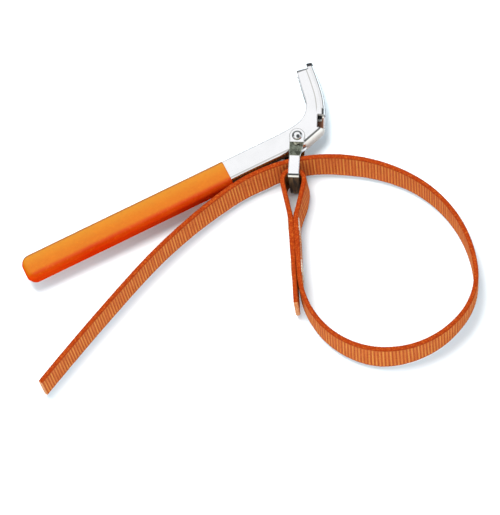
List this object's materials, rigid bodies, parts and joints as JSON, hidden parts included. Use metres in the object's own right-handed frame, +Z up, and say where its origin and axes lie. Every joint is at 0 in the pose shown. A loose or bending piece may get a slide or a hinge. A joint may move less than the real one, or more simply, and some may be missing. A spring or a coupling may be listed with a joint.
{
  "type": "oil filter wrench",
  "caption": "Strap oil filter wrench: bent channel lever with dipped grip, riveted to a shackle that holds a sewn webbing loop whose free tail runs through the shackle.",
  "frame": {"origin": "on the surface the tool lies on, at the middle of the outer face of the shackle's lower leg", "axes": "+X along the lever from the grip to the bent head, +Y to the open side of the lever's channel, +Z up along the rivet, out of the tool lying on its side"},
  "size_m": [0.2858, 0.21, 0.033],
  "materials": {
    "chrome_plate": "bright plated pressed steel",
    "shackle_chrome": "bright plated steel strip",
    "rivet_steel": "plated rivet",
    "spacer_steel": "plain steel tube",
    "grip_pvc": "smooth dipped sleeve, slightly soft sheen",
    "strap_webbing": "ribbed woven webbing",
    "thread": "light sewing thread"
  },
  "bodies": {
    "shackle": {"shackle": "shackle_chrome", "pivot_rivet": "rivet_steel"},
    "lever": {"lever": "chrome_plate", "grip_sleeve": "grip_pvc", "pivot_spacer": "spacer_steel"},
    "strap_eye": {"strap_eye": "strap_webbing", "seam_stitching": "thread"},
    "loop_01": {"strap_loop_01": "strap_webbing"},
    "loop_02_03": {"strap_loop_02": "strap_webbing", "strap_loop_03": "strap_webbing"},
    "loop_04_05": {"strap_loop_04": "strap_webbing", "strap_loop_05": "strap_webbing"},
    "loop_06_07": {"strap_loop_06": "strap_webbing", "strap_loop_07": "strap_webbing"},
    "loop_08_09": {"strap_loop_08": "strap_webbing", "strap_loop_09": "strap_webbing"},
    "loop_10_throat": {"strap_loop_10": "strap_webbing", "strap_loop_11": "strap_webbing", "strap_throat": "strap_webbing"},
    "tail_01": {"strap_tail_01": "strap_webbing"},
    "tail_02": {"strap_tail_02": "strap_webbing"},
    "tail_03": {"strap_tail_03": "strap_webbing"},
    "tail_04": {"strap_tail_04": "strap_webbing"},
    "tail_05": {"strap_tail_05": "strap_webbing"},
    "tail_06": {"strap_tail_06": "strap_webbing"},
    "tail_07": {"strap_tail_07": "strap_webbing"}
  },
  "joints": [
    {"name": "handle_swing", "type": "hinge", "parent": "shackle", "child": "lever", "pos_m": [0.01165, 0.02018, 0.0165], "axis": [0, 0, 1], "range_deg": [-65, 2]},
    {"name": "loop_tighten", "type": "hinge", "parent": "shackle", "child": "strap_eye", "pos_m": [-0.00486, -0.00782, 0.0165], "axis": [0, 0, 1], "range_deg": [-0.43, 2.85]},
    {"name": "bend_loop_01", "type": "hinge", "parent": "strap_eye", "child": "loop_01", "pos_m": [-0.03014, -0.06715, 0.0165], "axis": [0, 0, 1], "range_deg": [-1.17, 6.11]},
    {"name": "bend_loop_02", "type": "hinge", "parent": "loop_01", "child": "loop_02_03", "pos_m": [-0.03439, -0.09295, 0.0165], "axis": [0, 0, 1], "range_deg": [-1.41, 7.68]},
    {"name": "bend_loop_04", "type": "hinge", "parent": "loop_02_03", "child": "loop_04_05", "pos_m": [-0.00755, -0.13607, 0.0165], "axis": [0, 0, 1], "range_deg": [-1.32, 7.12]},
    {"name": "bend_loop_06", "type": "hinge", "parent": "loop_04_05", "child": "loop_06_07", "pos_m": [0.04786, -0.13922, 0.0165], "axis": [0, 0, 1], "range_deg": [-0.62, 2.45]},
    {"name": "bend_loop_08", "type": "hinge", "parent": "loop_06_07", "child": "loop_08_09", "pos_m": [0.07609, -0.09073, 0.0165], "axis": [0, 0, 1], "range_deg": [-1.8, 0.53]},
    {"name": "bend_loop_10", "type": "hinge", "parent": "loop_08_09", "child": "loop_10_throat", "pos_m": [0.06417, -0.04269, 0.0165], "axis": [0, 0, 1], "range_deg": [-2.07, 0.57]},
    {"name": "tail_flex", "type": "hinge", "parent": "loop_10_throat", "child": "tail_01", "pos_m": [-0.02036, 0.00751, 0.0165], "axis": [0, 0, 1], "range_deg": [-1, 7]},
    {"name": "bend_tail_02", "type": "hinge", "parent": "tail_01", "child": "tail_02", "pos_m": [-0.04581, 0.00571, 0.0165], "axis": [0, 0, 1], "range_deg": [-1.3, 7.3]},
    {"name": "bend_tail_03", "type": "hinge", "parent": "tail_02", "child": "tail_03", "pos_m": [-0.07293, -0.00059, 0.0165], "axis": [0, 0, 1], "range_deg": [-1.3, 7.3]},
    {"name": "bend_tail_04", "type": "hinge", "parent": "tail_03", "child": "tail_04", "pos_m": [-0.09952, -0.00882, 0.0165], "axis": [0, 0, 1], "range_deg": [-1.3, 7.3]},
    {"name": "bend_tail_05", "type": "hinge", "parent": "tail_04", "child": "tail_05", "pos_m": [-0.12545, -0.01895, 0.0165], "axis": [0, 0, 1], "range_deg": [-1.3, 7.3]},
    {"name": "bend_tail_06", "type": "hinge", "parent": "tail_05", "child": "tail_06", "pos_m": [-0.15289, -0.03108, 0.0165], "axis": [0, 0, 1], "range_deg": [-1.3, 7.3]},
    {"name": "bend_tail_07", "type": "hinge", "parent": "tail_06", "child": "tail_07", "pos_m": [-0.18014, -0.04364, 0.0165], "axis": [0, 0, 1], "range_deg": [-1.3, 7.3]}
  ],
  "couplings": [
    {"joint": "bend_loop_01", "follows": "loop_tighten", "ratio": 2.0434},
    {"joint": "bend_loop_02", "follows": "loop_tighten", "ratio": 2.5945},
    {"joint": "bend_loop_04", "follows": "loop_tighten", "ratio": 2.3974},
    {"joint": "bend_loop_06", "follows": "loop_tighten", "ratio": 0.75593},
    {"joint": "bend_loop_08", "follows": "loop_tighten", "ratio": -0.52783},
    {"joint": "bend_loop_10", "follows": "loop_tighten", "ratio": -0.62303},
    {"joint": "bend_tail_02", "follows": "tail_flex", "ratio": 1},
    {"joint": "bend_tail_03", "follows": "tail_flex", "ratio": 1},
    {"joint": "bend_tail_04", "follows": "tail_flex", "ratio": 1},
    {"joint": "bend_tail_05", "follows": "tail_flex", "ratio": 1},
    {"joint": "bend_tail_06", "follows": "tail_flex", "ratio": 1},
    {"joint": "bend_tail_07", "follows": "tail_flex", "ratio": 1}
  ]
}
